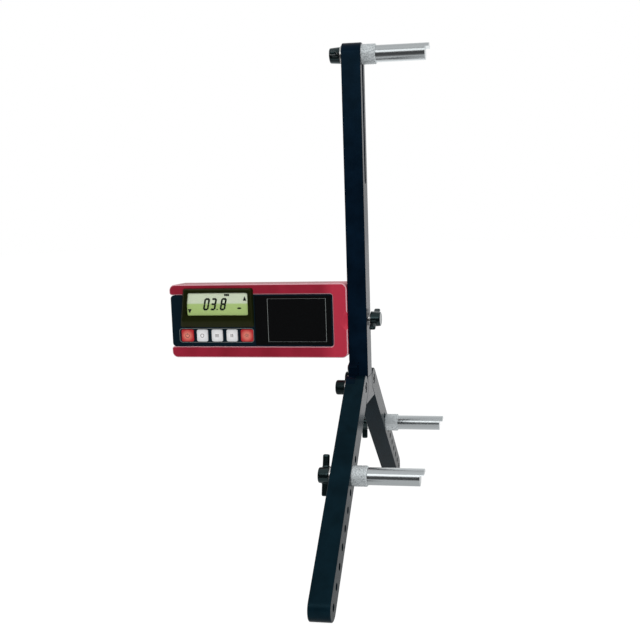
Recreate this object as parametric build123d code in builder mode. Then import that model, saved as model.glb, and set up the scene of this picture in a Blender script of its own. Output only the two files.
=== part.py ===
from build123d import *
import os
from math import cos, radians, sin, sqrt

# Digital camber gauge: a slotted upper bar and two folding legs carry three
# posts that sit on a wheel rim, and a digital level is clamped behind the bar.
# All sizes are in millimetres. The origin is on the top post's axis, at the
# step that meets the rim. +X points to the wheel, +Z is up, and the display
# of the level faces -Y. The right leg is the one on the -Y side.

os.makedirs("parts", exist_ok=True)

# Frame of bars: stock, reach and spread
bar_depth = 19.05
bar_width = 22.5
leg_width = 23.2
leg_spread = 49.1
top_post_height = 304.5
lower_post_along = 131.4
hole_pitch = 17.5
holes_above_post = 1
holes_below_post = 7
edge_break = 0.5

# Slot of the upper bar
slot_width = 7.2
slot_bottom_height = 184.2
slot_top_spare = 0.6

# Hub where the bar and the legs meet, heights from the crossing of the legs' lines
hub_top_height = 4.0
shoulder_half_width = 18.5
shoulder_drop = 4.0
tongue_bottom_depth = 12.0
web_bottom_depth = 37.4
leg_relief_gap = 1.0
leg_fold = 105.0
fold_gap = 0.6
fold_room = 40.0

# Posts
post_reach = 61.7
post_radius = 8.0
collar_radius = 9.5
collar_length = 14.0
collar_edge = 0.8
lip_length = 3.8
lip_height_share = 0.28

# Studs, washers and the holes that they pass
stud_radius = 3.0
stud_in_post = 11.5
stud_in_knob = 8.0
stud_point = 0.6
hole_radius = 3.3
washer_radius = 8.8
washer_thickness = 1.6
front_washer_radius = 6.5

# Wing knobs and the threaded inserts in them
insert_radius = 4.6
insert_flange_radius = 5.6
insert_flange = 1.0
insert_length = 9.0
wing_hub_radius = 8.0
wing_hub_depth = 10.8
wing_length = 38.0
wing_thickness = 4.4
wing_depth = 7.9
wing_round = 1.6
hub_taper = 3.0
hub_round = 1.2
right_wing_turn = 73.0
left_wing_turn = 86.0
top_wing_turn = 3.0
level_wing_turn = 24.0

# Pivot bolts, hub washers and ribbed hub knobs
bolt_head_radius = 4.8
bolt_head_depth = 4.6
bolt_head_sunk = 0.4
counterbore_radius = 5.2
counterbore_depth = 5.0
hex_socket = 4.0
hex_socket_depth = 2.4
hex_sides = 6
hub_washer_radius = 7.2
hub_washer_thickness = 1.2
hub_knob_radius = 7.6
hub_knob_depth = 9.8
hub_knob_ribs = 18
hub_knob_groove = 0.7
hub_insert_radius = 4.4
hub_insert_length = 7.6

# Screws that hold the bar to the hub
hub_screw_radius = 2.5
hub_screw_spacing = 12.0
hub_screw_grip = 14.0
screw_head_radius = 4.4
screw_head_depth = 2.4
screw_socket = 3.0

# Level: outside and frame
level_length = 185.1
level_height = 75.1
level_bolt_height = 45.75
top_rail = 10.7
bottom_rail = 11.6
end_wall = 14.6
frame_corner = 6.0
rail_end_round = 2.6
inner_corner = 2.4
frame_edge = 0.9
level_stud_depth = 11.5
scallop_ball = 26.0
scallop_depth = 2.4
scallop_past_end = 4.0

# Level: case and back cover
case_wall = 2.2
case_front = 2.5
case_depth = 26.0
case_corner = 3.4
case_end_inset = 1.3
label_recess = 1.6
label_thickness = 1.0
boss_radius = 3.0
boss_inset = 5.6
pilot_radius = 1.25
standoff_radius = 2.2
standoff_height = 3.5
cover_thickness = 4.0
door_recess = 2.0

# Level: display hood, its length set in from the level's far end, and heights from the bolt
hood_inset = 10.5
hood_length = 78.6
hood_near_slope = 1.9
hood_far_slope = 8.6
hood_low, hood_high = -6.2, 33.8
hood_ridge_low, hood_ridge_high = -0.7, 33.2
hood_top_low, hood_top_high = 5.3, 32.2
hood_height = 5.0
hood_ridge_height = 3.6
hood_ridge_near_slope = 1.0
hood_ridge_far_slope = 2.6
glass_near_rim = 2.8
glass_far_rim = 1.0
glass_low, glass_high = 6.5, 29.2
hood_ledge = 1.5
window_thickness = 1.0
window_sunk = 0.4
panel_thickness = 2.6
panel_margin = 0.9
panel_gap = 0.3
label_gap = 0.7

# Level: buttons in a row below the display
button_count = 5
button_inset = 7.4
button_pitch = 15.8
button_drop = 14.7
button_height = 12.4
white_button_width = 11.7
red_button_width = 12.9
button_proud = 1.2
button_corner = 1.8
button_flange = 0.9
button_flange_depth = 0.9
button_travel = 0.8
switch_size = 6.0

# Level: parts inside
board_thickness = 1.6
board_inset = 9.8
board_low_inset = 2.8
sensor_radius = 9.0
sensor_height = 8.0
sensor_inset = 127.1
beeper_radius = 6.0
beeper_height = 4.5
beeper_inset = 99.1
battery_length = 46.0
battery_height = 26.2
battery_room = 2.95
battery_inset = 34.6
battery_edge = 2.0
clip_thickness = 1.5
snap_radius = 3.2
snap_height = 3.0
snap_spacing = 12.7
door_length = 56.0
door_height = 32.0
door_tongue = 0.7
grip_ribs = 4
grip_rib_width = 1.2
grip_rib_height = 0.5

# Clearances
running_gap = 0.08
thread_gap = 0.03
part_gap = 0.15
stop_gap = 0.2
lap_gap = 0.05
side_gap = 0.3
button_gap = 0.3
cut_over = 1.0

# Places worked out from the sizes above
x_front = -post_reach
x_back = x_front - bar_depth
x_mid = (x_front + x_back) / 2
crossing_z = -top_post_height
spread = radians(leg_spread)
leg_radius = leg_width / 2
pivot_y = bar_width / 2 + leg_radius + side_gap
pivot_along = pivot_y / sin(spread)
pivot_z = crossing_z - pivot_along * cos(spread)
hub_top = crossing_z + hub_top_height
tongue_bottom = crossing_z - tongue_bottom_depth
web_bottom = crossing_z - web_bottom_depth
level_z = crossing_z + level_bolt_height
slot_bottom = crossing_z + slot_bottom_height
screw_z = (hub_top + tongue_bottom) / 2
screw_places = [(-hub_screw_spacing / 2, screw_z), (hub_screw_spacing / 2, screw_z)]
sides = {"right": -1, "left": 1}

# Lengths along the level, measured from the bar's back face
hood_far = level_length - hood_inset
hood_near = hood_far - hood_length
hood_ridge_near = hood_near + hood_ridge_near_slope
hood_ridge_far = hood_far - hood_ridge_far_slope
hood_top_near = hood_near + hood_near_slope
hood_top_far = hood_far - hood_far_slope
glass_near = hood_top_near + glass_near_rim
glass_far = hood_top_far - glass_far_rim
label_far = hood_near - label_gap
button_first = hood_far - button_inset
sensor_along = level_length - sensor_inset
beeper_along = level_length - beeper_inset
battery_far = level_length - battery_inset
battery_near = battery_far - battery_length
clip_near = battery_near - snap_height - clip_thickness


def save(piece, name):
    """Name a finished piece and write its STEP file."""
    piece.part.label = name
    export_step(piece.part, f"parts/{name}.step")


def leg_plane(side, x):
    """Plane across X whose local x runs down a leg from the crossing."""
    return Plane(origin=(x, 0, crossing_z), x_dir=(0, side * sin(spread), -cos(spread)), z_dir=(1, 0, 0))


def leg_place(side, along):
    """Y and Z of a point on a leg's centre line."""
    return (side * along * sin(spread), crossing_z - along * cos(spread))


def end_edges(piece, axis):
    """Edges of the two faces that end a piece along an axis."""
    ends = piece.faces().filter_by(axis).sort_by(axis)
    return ends[0].edges() + ends[-1].edges()


def knob_plane(x, place, out, turn=0):
    """Plane at an axis along X, facing out, with local x turned from +Y."""
    y, z = place
    return Plane(origin=(x, y, z), x_dir=(0, cos(radians(turn)), sin(radians(turn))), z_dir=(out, 0, 0))


# Upper bar: slotted, round at the top, and lapped in front of the hub below
bar_low = tongue_bottom
with BuildPart() as upper_bar:
    with BuildSketch(Plane.YZ.offset(x_back)):
        with Locations((0, bar_low / 2)):
            Rectangle(bar_width, -bar_low)
        Circle(bar_width / 2)
    extrude(amount=bar_depth)
    chamfer(end_edges(upper_bar, Axis.X), edge_break)
    with BuildSketch(Plane.YZ.offset(x_back)):
        with Locations((0, (hub_top + bar_low - cut_over) / 2)):
            Rectangle(bar_width + cut_over, hub_top - bar_low + cut_over)
    extrude(amount=x_mid - x_back, mode=Mode.SUBTRACT)
    with BuildSketch(Plane.YZ.offset(x_back - cut_over)):
        with Locations((0, (slot_top_spare + slot_bottom) / 2)):
            SlotCenterToCenter(slot_top_spare - slot_bottom, slot_width, rotation=90)
    extrude(amount=bar_depth + 2 * cut_over, mode=Mode.SUBTRACT)
    with BuildSketch(Plane.YZ.offset(x_back - cut_over)):
        with Locations((0, level_z)):
            Circle(stud_radius + running_gap)
    extrude(amount=bar_depth + 2 * cut_over, mode=Mode.SUBTRACT)
    with BuildSketch(Plane.YZ.offset(x_mid)):
        with Locations(*screw_places):
            Circle(hub_screw_radius + thread_gap)
    extrude(amount=hub_screw_grip - (x_mid - x_back), mode=Mode.SUBTRACT)
save(upper_bar, "upper_bar")

# Hub: a rear plate with a round ear under each leg, and a full-depth web below the bar.
# The web's slanted sides are the stops that the opened legs rest on. A notch above each
# ear leaves room for the leg's side when the leg is folded up.
stop_offset = leg_radius + stop_gap
stop_y = pivot_y - stop_offset * cos(spread)
stop_z = pivot_z - stop_offset * sin(spread)
web_y = stop_y + (stop_z - web_bottom) * sin(spread) / cos(spread)
neck_radius = leg_radius + stop_gap
shoulder_z = hub_top - shoulder_drop
folded = spread - radians(90) + radians(leg_fold)
notch_radius = leg_radius + fold_gap
notch_start = Vector(pivot_y - notch_radius * sin(folded), pivot_z + notch_radius * cos(folded))
notch_end = notch_start + fold_room * Vector(cos(folded), sin(folded))
with BuildPart() as hub_plate:
    with BuildSketch(Plane.YZ.offset(x_back)):
        with BuildLine():
            Polyline(
                (-bar_width / 2, hub_top), (bar_width / 2, hub_top), (shoulder_half_width, shoulder_z),
                (-shoulder_half_width, shoulder_z), close=True)
        make_face()
        with Locations((-pivot_y, pivot_z), (pivot_y, pivot_z)):
            Circle(leg_radius)
        make_hull()
        with BuildLine():
            Polyline(
                (-stop_y, stop_z), (-pivot_y, pivot_z), (pivot_y, pivot_z), (stop_y, stop_z),
                (web_y, web_bottom), (-web_y, web_bottom), close=True)
        make_face()
    extrude(amount=x_mid - x_back - lap_gap)
    with BuildSketch(Plane.YZ.offset(x_mid - lap_gap)):
        with BuildLine():
            Polyline(
                (-bar_width / 2, tongue_bottom), (bar_width / 2, tongue_bottom), (bar_width / 2, pivot_z),
                (stop_y, stop_z), (web_y, web_bottom), (-web_y, web_bottom), (-stop_y, stop_z),
                (-bar_width / 2, pivot_z), close=True)
        make_face()
        with Locations((-pivot_y, pivot_z), (pivot_y, pivot_z)):
            Circle(neck_radius, mode=Mode.SUBTRACT)
    extrude(amount=x_front - x_mid + lap_gap)
    chamfer(end_edges(hub_plate, Axis.X), edge_break)
    with BuildSketch(Plane.YZ.offset(x_back - cut_over)):
        for side in sides.values():
            with BuildLine():
                Polyline(
                    (side * pivot_y, pivot_z), (side * notch_start.X, notch_start.Y),
                    (side * notch_end.X, notch_end.Y), (side * notch_end.X, pivot_z), close=True)
            make_face()
        with Locations((-pivot_y, pivot_z), (pivot_y, pivot_z)):
            Circle(leg_radius, mode=Mode.SUBTRACT)
    extrude(amount=x_mid - x_back + cut_over, mode=Mode.SUBTRACT)
    with BuildSketch(Plane.YZ.offset(x_back - cut_over)):
        with Locations((-pivot_y, pivot_z), (pivot_y, pivot_z)):
            Circle(stud_radius + thread_gap)
        with Locations(*screw_places):
            Circle(hub_screw_radius + thread_gap)
    extrude(amount=x_mid - x_back + cut_over, mode=Mode.SUBTRACT)
save(hub_plate, "hub_plate")

with BuildPart() as hub_screws:
    head_plane = Plane.YZ.offset(x_back)
    with BuildSketch(head_plane):
        with Locations(*screw_places):
            Circle(screw_head_radius)
    extrude(amount=-screw_head_depth)
    fillet(hub_screws.faces().group_by(Axis.X)[0].edges(), screw_head_depth / 2)
    with BuildSketch(head_plane.offset(-screw_head_depth)):
        with Locations(*screw_places):
            RegularPolygon(screw_socket / 2, hex_sides, major_radius=False)
    extrude(amount=screw_head_depth / 2, mode=Mode.SUBTRACT)
    with BuildSketch(head_plane):
        with Locations(*screw_places):
            Circle(hub_screw_radius)
    extrude(amount=hub_screw_grip - part_gap)
save(hub_screws, "hub_screws")


def make_leg(side):
    """Leg: half-lapped round end at the hub, a row of holes, and a round foot."""
    end_along = lower_post_along + holes_below_post * hole_pitch
    with BuildPart() as leg:
        with BuildSketch(leg_plane(side, x_back)):
            with Locations(((pivot_along + end_along) / 2, 0)):
                SlotCenterToCenter(end_along - pivot_along, leg_width)
        extrude(amount=bar_depth)
        chamfer(end_edges(leg, Axis.X), edge_break)
        with BuildSketch(leg_plane(side, x_back - cut_over)):
            with Locations((pivot_along, 0)):
                Circle(leg_radius + leg_relief_gap)
        extrude(amount=x_mid - x_back + cut_over + lap_gap, mode=Mode.SUBTRACT)
        with BuildSketch(leg_plane(side, x_mid - cut_over)):
            with Locations((pivot_along, 0)):
                Circle(stud_radius + running_gap)
        extrude(amount=bar_depth, mode=Mode.SUBTRACT)
        with BuildSketch(leg_plane(side, x_front - counterbore_depth)):
            with Locations((pivot_along, 0)):
                Circle(counterbore_radius)
        extrude(amount=counterbore_depth + cut_over, mode=Mode.SUBTRACT)
        with BuildSketch(leg_plane(side, x_back - cut_over)):
            for k in range(-holes_above_post, holes_below_post + 1):
                with Locations((lower_post_along + k * hole_pitch, 0)):
                    Circle(hole_radius)
        extrude(amount=bar_depth + 2 * cut_over, mode=Mode.SUBTRACT)
    return leg


def make_pivot_bolt(place):
    """Bolt from the front through leg and hub into the ribbed knob."""
    head_front = x_front - bolt_head_sunk
    shank = bar_depth - bolt_head_sunk + hub_washer_thickness + insert_flange + hub_insert_length - cut_over
    with BuildPart() as bolt:
        with BuildSketch(knob_plane(head_front, place, -1)):
            Circle(bolt_head_radius)
        extrude(amount=bolt_head_depth)
        with BuildSketch(knob_plane(head_front, place, -1)):
            Circle(stud_radius)
        extrude(amount=shank)
        chamfer(end_edges(bolt, Axis.X), stud_point)
        with BuildSketch(knob_plane(head_front, place, -1)):
            RegularPolygon(hex_socket / 2, hex_sides, major_radius=False)
        extrude(amount=hex_socket_depth, mode=Mode.SUBTRACT)
    return bolt


def make_washer(x, place, out, radius, thickness, bore=hole_radius):
    """Flat ring that stands out from a face at x."""
    with BuildPart() as washer:
        with BuildSketch(knob_plane(x, place, out)):
            Circle(radius)
            Circle(bore, mode=Mode.SUBTRACT)
        extrude(amount=thickness)
    return washer


def make_insert(x, place, out, radius, length):
    """Flanged steel bush with the thread that the stud runs in."""
    with BuildPart() as insert:
        with BuildSketch(knob_plane(x, place, out)):
            Circle(insert_flange_radius)
        extrude(amount=insert_flange)
        with BuildSketch(knob_plane(x, place, out)):
            Circle(radius)
        extrude(amount=insert_flange + length)
        with BuildSketch(knob_plane(x, place, out).offset(-cut_over)):
            Circle(stud_radius + running_gap)
        extrude(amount=insert_flange + length + 2 * cut_over, mode=Mode.SUBTRACT)
    return insert


def make_wing_knob(x, place, out, turn):
    """T-shaped knob: a round hub with two wings, open behind for its insert."""
    face = knob_plane(x, place, out, turn)
    far = -1 if out > 0 else 0
    with BuildPart() as knob:
        with BuildSketch(face):
            SlotOverall(wing_length, wing_thickness)
        extrude(amount=wing_depth)
        fillet(knob.faces().sort_by(Axis.X)[far].edges(), wing_round)
        with BuildSketch(face):
            Circle(wing_hub_radius)
        extrude(amount=wing_hub_depth, taper=hub_taper)
        fillet(knob.faces().filter_by(Axis.X).sort_by(Axis.X)[far].edges(), hub_round)
        with BuildSketch(face):
            Circle(insert_radius + thread_gap)
        extrude(amount=insert_length + part_gap, mode=Mode.SUBTRACT)
    return knob


def make_hub_knob(place):
    """Round ribbed knob at the back of the hub."""
    face = knob_plane(x_back - hub_washer_thickness - insert_flange, place, -1)
    depth = hub_knob_depth - insert_flange
    with BuildPart() as knob:
        with BuildSketch(face):
            Circle(hub_knob_radius)
        extrude(amount=depth)
        fillet(knob.faces().sort_by(Axis.X)[0].edges(), hub_round)
        with BuildSketch(face):
            with PolarLocations(hub_knob_radius, hub_knob_ribs):
                Circle(hub_knob_groove)
        extrude(amount=depth, mode=Mode.SUBTRACT)
        with BuildSketch(face):
            Circle(hub_insert_radius + thread_gap)
        extrude(amount=hub_insert_length + part_gap, mode=Mode.SUBTRACT)
    return knob


def make_post(place):
    """Post: wide collar at the bar, plain shank, and a raised lip at the top of its free end."""
    with BuildPart() as post:
        with BuildSketch(knob_plane(x_front, place, 1)):
            Circle(collar_radius)
        extrude(amount=collar_length)
        chamfer(post.faces().sort_by(Axis.X)[-1].edges(), collar_edge)
        with BuildSketch(knob_plane(x_front, place, 1)):
            Circle(post_radius)
        extrude(amount=post_reach)
        lip_height = 2 * post_radius * lip_height_share
        with BuildSketch(knob_plane(0, place, 1)):
            Circle(post_radius)
            with Locations((0, post_radius - lip_height / 2)):
                Rectangle(2 * post_radius, lip_height, mode=Mode.INTERSECT)
        extrude(amount=lip_length)
        with BuildSketch(knob_plane(x_front, place, 1)):
            Circle(stud_radius + thread_gap)
        extrude(amount=stud_in_post + part_gap, mode=Mode.SUBTRACT)
    return post


def make_stud(place, x_from, x_to):
    """Threaded rod along X, pointed a little at both ends."""
    with BuildPart() as stud:
        with BuildSketch(knob_plane(x_from, place, 1)):
            Circle(stud_radius)
        extrude(amount=x_to - x_from)
        chamfer(stud.faces().filter_by(Axis.X).edges(), stud_point)
    return stud


def save_post_set(name, place, turn):
    """One post with all that clamps it: stud, washer, insert and wing knob."""
    insert_face = x_back - washer_thickness
    knob_face = insert_face - insert_flange
    save(make_post(place), f"{name}_post")
    save(make_stud(place, knob_face - stud_in_knob, x_front + stud_in_post), f"{name}_stud")
    save(make_washer(x_back, place, -1, washer_radius, washer_thickness), f"{name}_washer")
    save(make_insert(insert_face, place, -1, insert_radius, insert_length), f"{name}_insert")
    save(make_wing_knob(knob_face, place, -1, turn), f"{name}_wing_knob")


save_post_set("top", (0, 0), top_wing_turn)
wing_turns = {"right": right_wing_turn, "left": left_wing_turn}
for name, side in sides.items():
    pivot = leg_place(side, pivot_along)
    hub_insert_face = x_back - hub_washer_thickness
    save(make_leg(side), f"{name}_leg")
    save_post_set(name, leg_place(side, lower_post_along), wing_turns[name])
    save(make_pivot_bolt(pivot), f"{name}_pivot_bolt")
    save(make_washer(x_back, pivot, -1, hub_washer_radius, hub_washer_thickness), f"{name}_hub_washer")
    save(make_insert(hub_insert_face, pivot, -1, hub_insert_radius, hub_insert_length), f"{name}_hub_insert")
    save(make_hub_knob(pivot), f"{name}_hub_knob")

# Clamp of the level: stud through the bar, washer and wing knob in front
level_place = (0, level_z)
level_knob_face = x_front + washer_thickness + insert_flange
level_insert_face = x_front + washer_thickness
save(make_stud(level_place, x_back - level_stud_depth, level_knob_face + stud_in_knob), "level_stud")
save(make_washer(x_front, level_place, 1, front_washer_radius, washer_thickness), "level_washer")
save(make_insert(level_insert_face, level_place, 1, insert_radius, insert_length), "level_insert")
save(make_wing_knob(level_knob_face, level_place, 1, level_wing_turn), "level_wing_knob")

# Places on the level: distances from the bar's back face, and heights from the bolt
level_thickness = case_depth + cover_thickness
level_front = level_thickness / 2
level_top = level_height / 2
cavity_low = bottom_rail - level_top
cavity_high = level_top - top_rail


def front_plane(depth=0):
    """Plane facing the viewer of the display, set back from the level's front by depth."""
    return Plane.XZ.offset(level_front - depth)


def level_box(near, far, low, high):
    """Centre, width and height of a rectangle given by its four sides."""
    return (x_back - (near + far) / 2, level_z + (low + high) / 2), far - near, high - low


# Level frame: aluminium, two rails and an end wall around the case, open at the far end
with BuildPart() as level_frame:
    with BuildSketch(front_plane()):
        centre, width, height = level_box(0, level_length, -level_top, level_top)
        with Locations(centre):
            RectangleRounded(width, height, frame_corner)
    extrude(amount=-level_thickness)
    with BuildSketch(front_plane(-cut_over)):
        centre, width, height = level_box(end_wall, level_length + 2 * frame_corner, cavity_low, cavity_high)
        with Locations(centre):
            RectangleRounded(width, height, inner_corner)
    extrude(amount=-level_thickness - 2 * cut_over, mode=Mode.SUBTRACT)
    rail_tips = level_frame.edges().filter_by(Axis.Y).group_by(Axis.X)[0]
    fillet(rail_tips, rail_end_round)
    chamfer(end_edges(level_frame, Axis.Y), frame_edge)
    with Locations((x_back + scallop_past_end, scallop_depth - level_front - scallop_ball, level_z)):
        Sphere(scallop_ball, mode=Mode.SUBTRACT)
    with BuildSketch(Plane.YZ.offset(x_back + cut_over)):
        with Locations(level_place):
            Circle(stud_radius + thread_gap)
    extrude(amount=-level_stud_depth - part_gap - cut_over, mode=Mode.SUBTRACT)
save(level_frame, "level_frame")

# Level case: a tray with its front plate towards the viewer, open at the back
case_near = end_wall + part_gap
case_far = level_length - case_end_inset
case_low = cavity_low + part_gap
case_high = cavity_high - part_gap
boss_places = [
    (x_back - near, level_z + high)
    for near in (case_near + boss_inset, case_far - boss_inset)
    for high in (case_low + boss_inset, case_high - boss_inset)]
board_near = case_near + board_inset
board_far = case_far - board_inset
board_low = case_low + board_low_inset
board_high = case_high - board_low_inset
low_standoff = button_height / 2 - button_drop + button_flange + standoff_radius + part_gap
standoff_places = [
    (x_back - near, level_z + high)
    for near in (board_near + standoff_radius, board_far - standoff_radius)
    for high in (low_standoff, board_high - standoff_radius)]
button_places = [
    (x_back - button_first + k * button_pitch, level_z - button_drop) for k in range(button_count)]
button_widths = [red_button_width] + [white_button_width] * (button_count - 2) + [red_button_width]
strip_near = glass_near + hood_ledge + panel_margin
strip_far = glass_far - hood_ledge - panel_margin
strip_low = glass_low
strip_high = glass_low + panel_thickness
with BuildPart() as level_case:
    with BuildSketch(front_plane()):
        centre, width, height = level_box(case_near, case_far, case_low, case_high)
        with Locations(centre):
            RectangleRounded(width, height, case_corner)
    extrude(amount=-case_depth)
    with BuildSketch(front_plane(case_front)):
        centre, width, height = level_box(
            case_near + case_wall, case_far - case_wall, case_low + case_wall, case_high - case_wall)
        with Locations(centre):
            Rectangle(width, height)
    extrude(amount=case_front - case_depth - cut_over, mode=Mode.SUBTRACT)
    with BuildSketch(front_plane(case_front)):
        with Locations(*boss_places):
            Circle(boss_radius)
    extrude(amount=case_front - case_depth)
    with BuildSketch(front_plane(case_front)):
        with Locations(*standoff_places):
            Circle(standoff_radius)
    extrude(amount=-standoff_height)
    with BuildSketch(front_plane(case_front)):
        with Locations(*boss_places):
            Circle(pilot_radius)
    extrude(amount=case_front - case_depth - cut_over, mode=Mode.SUBTRACT)
    with BuildSketch(front_plane(-cut_over)):
        centre, width, height = level_box(
            case_near + case_wall / 2, label_far, case_low + case_wall / 2, case_high - case_wall / 2)
        with Locations(centre):
            Rectangle(width, height)
    extrude(amount=-label_recess - cut_over, mode=Mode.SUBTRACT)
    with BuildSketch(front_plane(-cut_over)):
        for place, width in zip(button_places, button_widths):
            with Locations(place):
                RectangleRounded(
                    width + 2 * button_gap, button_height + 2 * button_gap, button_corner + button_gap)
        centre, width, height = level_box(
            strip_near - part_gap, strip_far + part_gap, strip_low - part_gap, strip_high + part_gap)
        with Locations(centre):
            Rectangle(width, height)
    extrude(amount=-case_front - 2 * cut_over, mode=Mode.SUBTRACT)
save(level_case, "level_case")

# Label plate: a plain glossy panel in the recess beside the display
with BuildPart() as label_plate:
    with BuildSketch(front_plane(label_recess - label_thickness)):
        centre, width, height = level_box(
            case_near + case_wall / 2 + part_gap, label_far - part_gap,
            case_low + case_wall / 2 + part_gap, case_high - case_wall / 2 - part_gap)
        with Locations(centre):
            Rectangle(width, height)
    extrude(amount=-label_thickness)
save(label_plate, "label_plate")

# Display hood: a raised frame that overlaps the top rail. Its sides rise steeply to a
# ridge, and from there gently to the flat around the glass.
with BuildPart() as lcd_bezel:
    with BuildSketch(front_plane()):
        centre, width, height = level_box(hood_near, hood_far, hood_low, hood_high)
        with Locations(centre):
            RectangleRounded(width, height, button_corner)
    with BuildSketch(front_plane(-hood_ridge_height)):
        centre, width, height = level_box(hood_ridge_near, hood_ridge_far, hood_ridge_low, hood_ridge_high)
        with Locations(centre):
            RectangleRounded(width, height, button_corner)
    with BuildSketch(front_plane(-hood_height)):
        centre, width, height = level_box(hood_top_near, hood_top_far, hood_top_low, hood_top_high)
        with Locations(centre):
            RectangleRounded(width, height, button_corner)
    loft(ruled=True)
    with BuildSketch(front_plane()):
        centre, width, height = level_box(
            glass_near - panel_margin, glass_far + panel_margin,
            glass_low - panel_margin, glass_high + panel_margin)
        with Locations(centre):
            Rectangle(width, height)
    extrude(amount=hood_height - window_sunk - window_thickness, mode=Mode.SUBTRACT)
    with BuildSketch(front_plane()):
        centre, width, height = level_box(glass_near, glass_far, glass_low, glass_high)
        with Locations(centre):
            Rectangle(width, height)
    extrude(amount=hood_height + cut_over, mode=Mode.SUBTRACT)
save(lcd_bezel, "lcd_bezel")

window_back = hood_height - window_sunk - window_thickness
with BuildPart() as lcd_window:
    with BuildSketch(front_plane(-window_back)):
        centre, width, height = level_box(
            glass_near + part_gap, glass_far - part_gap, glass_low + part_gap, glass_high - part_gap)
        with Locations(centre):
            Rectangle(width, height)
    extrude(amount=window_thickness)
save(lcd_window, "lcd_window")

with BuildPart() as lcd_panel:
    with BuildSketch(front_plane(panel_thickness + panel_gap - window_back)):
        centre, width, height = level_box(
            glass_near - panel_margin + part_gap, glass_far + panel_margin - part_gap,
            glass_low - panel_margin + part_gap, glass_high + panel_margin - part_gap)
        with Locations(centre):
            Rectangle(width, height)
    extrude(amount=panel_thickness)
save(lcd_panel, "lcd_panel")

# Board, and the rubber strip that joins the display to it
board_front = case_front + standoff_height
with BuildPart() as circuit_board:
    with BuildSketch(front_plane(board_front)):
        centre, width, height = level_box(board_near, board_far, board_low, board_high)
        with Locations(centre):
            Rectangle(width, height)
    extrude(amount=-board_thickness)
save(circuit_board, "circuit_board")

with BuildPart() as lcd_strip:
    with BuildSketch(front_plane(board_front)):
        centre, width, height = level_box(strip_near, strip_far, strip_low, strip_high)
        with Locations(centre):
            Rectangle(width, height)
    extrude(amount=board_front + window_back - panel_gap - panel_thickness)
save(lcd_strip, "lcd_strip")

# Push buttons: a cap through the case, held behind it by a flange, over a switch each
button_names = ["power_button", "zero_button", "mode_button", "hold_button", "light_button"]
for name, place, width in zip(button_names, button_places, button_widths):
    with BuildPart() as button:
        with BuildSketch(front_plane(case_front + part_gap)):
            with Locations(place):
                RectangleRounded(width, button_height, button_corner)
        extrude(amount=case_front + part_gap + button_proud)
        fillet(button.faces().sort_by(Axis.Y)[0].edges(), button_proud / 2)
        with BuildSketch(front_plane(case_front + part_gap)):
            with Locations(place):
                RectangleRounded(width + 2 * button_flange, button_height + 2 * button_flange, button_corner)
        extrude(amount=-button_flange_depth)
    save(button, name)

switch_top = case_front + part_gap + button_flange_depth + button_travel + part_gap
with BuildPart() as button_switches:
    with BuildSketch(front_plane(board_front)):
        with Locations(*button_places):
            Rectangle(switch_size, switch_size)
    extrude(amount=board_front - switch_top)
save(button_switches, "button_switches")

# Parts on the back of the board
board_back = board_front + board_thickness
with BuildPart() as tilt_sensor:
    with BuildSketch(front_plane(board_back)):
        with Locations((x_back - sensor_along, level_z)):
            Circle(sensor_radius)
    extrude(amount=-sensor_height)
    chamfer(tilt_sensor.faces().sort_by(Axis.Y)[-1].edges(), collar_edge)
save(tilt_sensor, "tilt_sensor")

with BuildPart() as beeper:
    with BuildSketch(front_plane(board_back)):
        with Locations((x_back - beeper_along, level_z)):
            Circle(beeper_radius)
            Circle(pilot_radius, mode=Mode.SUBTRACT)
    extrude(amount=-beeper_height)
save(beeper, "beeper")

# Battery block, its snap clip, and the cover and sliding door behind it
battery_front = board_back + part_gap
battery_depth = case_depth + cover_thickness - door_recess - battery_room - battery_front
with BuildPart() as battery:
    with BuildSketch(front_plane(battery_front)):
        centre, width, height = level_box(battery_near, battery_far, -battery_height / 2, battery_height / 2)
        with Locations(centre):
            Rectangle(width, height)
    extrude(amount=-battery_depth)
    fillet(battery.edges().filter_by(Axis.X), battery_edge)
    battery_middle = battery_front + battery_depth / 2 - level_front
    with BuildSketch(Plane.YZ.offset(x_back - battery_near)):
        for end in (-1, 1):
            with Locations((battery_middle, level_z + end * snap_spacing / 2)):
                Circle(snap_radius)
    extrude(amount=snap_height)
save(battery, "battery")

with BuildPart() as battery_clip:
    with BuildSketch(front_plane(battery_front)):
        centre, width, height = level_box(
            clip_near, clip_near + clip_thickness, -battery_height / 2, battery_height / 2)
        with Locations(centre):
            Rectangle(width, height)
    extrude(amount=-battery_depth)
save(battery_clip, "battery_clip")

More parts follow.
